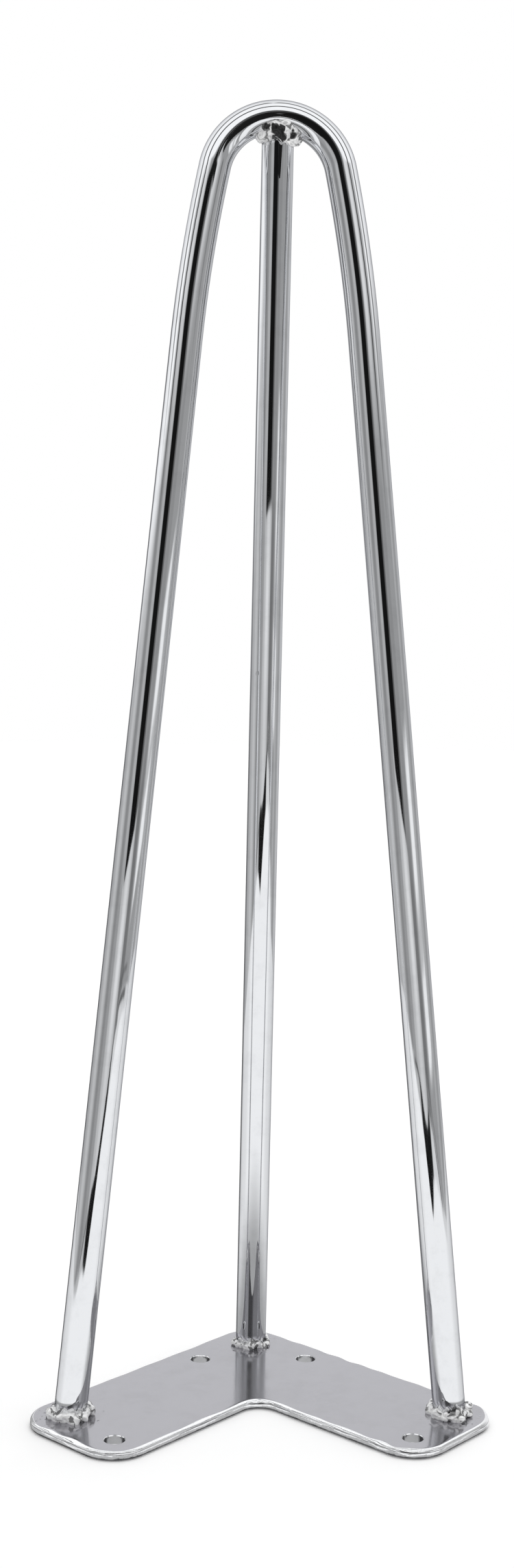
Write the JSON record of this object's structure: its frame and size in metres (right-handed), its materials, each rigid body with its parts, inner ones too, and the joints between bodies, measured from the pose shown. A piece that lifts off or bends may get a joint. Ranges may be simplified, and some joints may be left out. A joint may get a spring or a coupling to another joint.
{
  "type": "hairpin table leg",
  "caption": "Welded hairpin furniture leg: a bent round rod and a straight corner rod on an L shaped mounting plate with screw holes.",
  "frame": {"origin": "centre of the plate's footprint on the underside of the plate, which is the face that goes against the table", "axes": "+Z from the plate towards the bend, which is the end that stands on the floor when the leg is in use; +Y towards the plate's outer corner; the two halves mirror each other across X = 0"},
  "size_m": [0.14, 0.0958, 0.4059],
  "materials": {
    "chrome_rod": "bright chrome plating on round steel rod",
    "chrome_plate": "chrome plating on flat rolled steel, slightly softer than the rods",
    "chrome_weld": "bright chrome plating over lumpy weld beads"
  },
  "bodies": {
    "root": {"mounting_plate": "chrome_plate", "bent_rod": "chrome_rod", "corner_rod": "chrome_rod", "weld_left_foot": "chrome_weld", "weld_right_foot": "chrome_weld", "weld_corner_foot": "chrome_weld", "weld_bend": "chrome_weld"}
  },
  "joints": []
}
